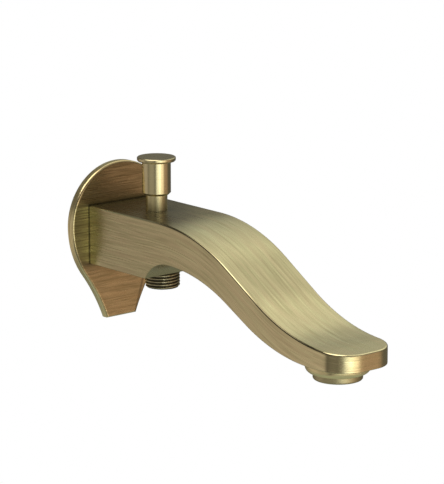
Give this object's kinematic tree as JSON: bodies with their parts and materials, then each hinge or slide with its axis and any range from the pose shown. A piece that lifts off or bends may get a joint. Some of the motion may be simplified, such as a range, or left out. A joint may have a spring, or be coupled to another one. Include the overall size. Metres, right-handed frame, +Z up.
{
  "type": "bath spout",
  "caption": "Wall-mounted bath spout with an S-shaped slab body, keyhole wall flange, lift-up diverter knob, threaded hose outlet below and an aerator at the tip.",
  "frame": {"origin": "where the inlet axis meets the wall, at the middle of the flange's back plane", "axes": "+X out of the wall over the bath, +Z up, +Y to the left seen from the wall"},
  "size_m": [0.2392, 0.074, 0.1039],
  "materials": {
    "brushed_bronze": "antique bronze plating over brass, brushed along its length",
    "flange_bronze": "antique bronze plating over brass, brushed across",
    "turned_bronze": "antique bronze plating, turned and polished",
    "thread_bronze": "dark bronze plating on a cut thread",
    "raw_brass": "machined brass",
    "seal_rubber": "soft black seal",
    "fibre_washer": "red fibre sealing ring",
    "gasket_foam": "closed-cell gasket sheet",
    "spring_steel": "stainless spring wire",
    "jet_plastic": "moulded white plastic",
    "screen_steel": "stainless sheet"
  },
  "bodies": {
    "spout": {"spout_body": "brushed_bronze", "wall_flange": "flange_bronze", "flange_gasket": "gasket_foam", "inlet_nipple": "raw_brass", "inlet_o_ring": "seal_rubber", "hose_nipple": "thread_bronze", "hose_nipple_washer": "fibre_washer", "guide_bush": "turned_bronze", "bush_gasket": "fibre_washer", "spindle_o_ring_lower": "seal_rubber", "spindle_o_ring_upper": "seal_rubber", "return_spring": "spring_steel", "aerator_housing": "turned_bronze", "aerator_cartridge": "jet_plastic", "aerator_screen": "screen_steel", "aerator_washer": "seal_rubber"},
    "diverter": {"knob": "turned_bronze", "spindle": "raw_brass", "upper_valve_washer": "seal_rubber", "valve_carrier": "raw_brass", "lower_valve_washer": "seal_rubber", "spindle_nut": "raw_brass"}
  },
  "joints": [
    {"name": "knob_lift", "type": "slide", "parent": "spout", "child": "diverter", "axis": [0, 0, 1], "range_m": [0, 0.007], "stiffness_N_per_m": 270, "springref_m": -0.006, "deforming": ["return_spring"]}
  ]
}
